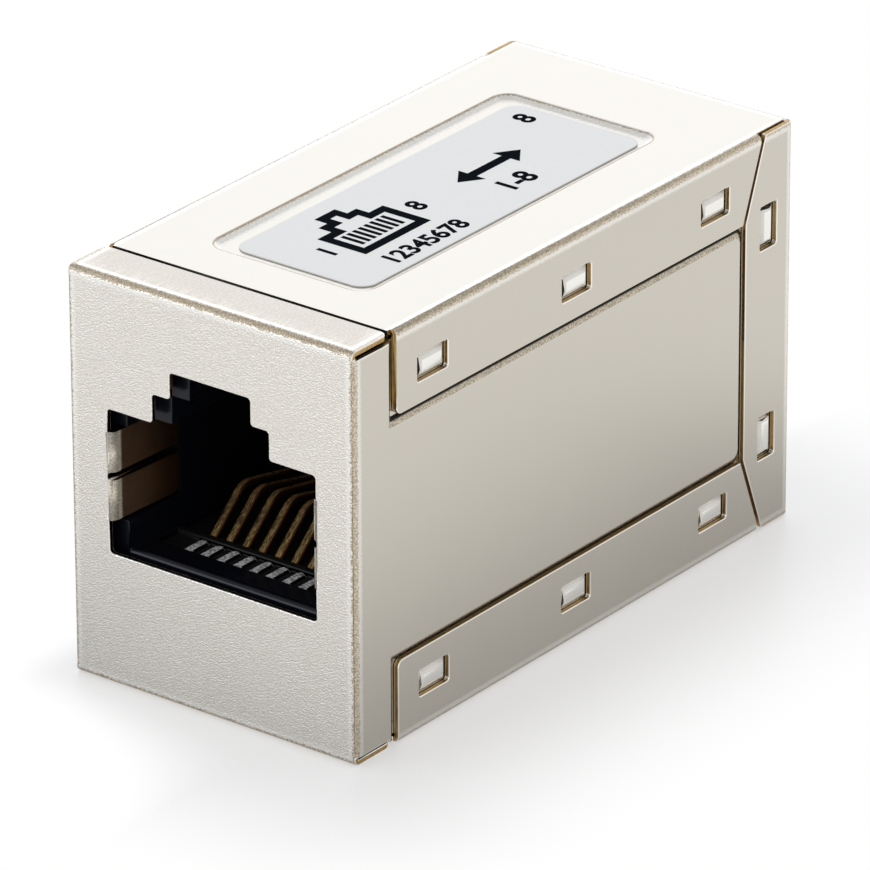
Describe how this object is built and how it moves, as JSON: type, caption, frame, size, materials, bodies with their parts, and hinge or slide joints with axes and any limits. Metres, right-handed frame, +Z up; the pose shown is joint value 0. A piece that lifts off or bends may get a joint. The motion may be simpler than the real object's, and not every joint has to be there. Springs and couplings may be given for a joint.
{
  "type": "rj45 inline coupler",
  "caption": "Shielded inline coupler: two modular jacks back to back in a folded metal can, joining two network leads end to end.",
  "frame": {"origin": "middle of the underside, at the bottom of the bounding box", "axes": "+Z up, +Y along the coupler from the front port to the rear port, +X to the right of someone who looks into the front port"},
  "size_m": [0.0176, 0.036, 0.022],
  "materials": {
    "nickel_plate": "nickel plated, satin",
    "label_film": "printed film",
    "board_laminate": "solder mask",
    "housing_plastic": "moulded, gloss",
    "insert_plastic": "moulded, matt",
    "contact_gold": "gold plated"
  },
  "bodies": {
    "root": {"shield_front_shell": "nickel_plate", "shield_rear_shell": "nickel_plate", "label": "label_film", "circuit_board": "board_laminate", "front_jack_housing": "housing_plastic", "rear_jack_housing": "housing_plastic", "front_contact_insert": "insert_plastic", "rear_contact_insert": "insert_plastic", "front_contact_1": "contact_gold", "front_contact_2": "contact_gold", "front_contact_3": "contact_gold", "front_contact_4": "contact_gold", "front_contact_5": "contact_gold", "front_contact_6": "contact_gold", "front_contact_7": "contact_gold", "front_contact_8": "contact_gold", "rear_contact_1": "contact_gold", "rear_contact_2": "contact_gold", "rear_contact_3": "contact_gold", "rear_contact_4": "contact_gold", "rear_contact_5": "contact_gold", "rear_contact_6": "contact_gold", "rear_contact_7": "contact_gold", "rear_contact_8": "contact_gold"}
  },
  "joints": []
}
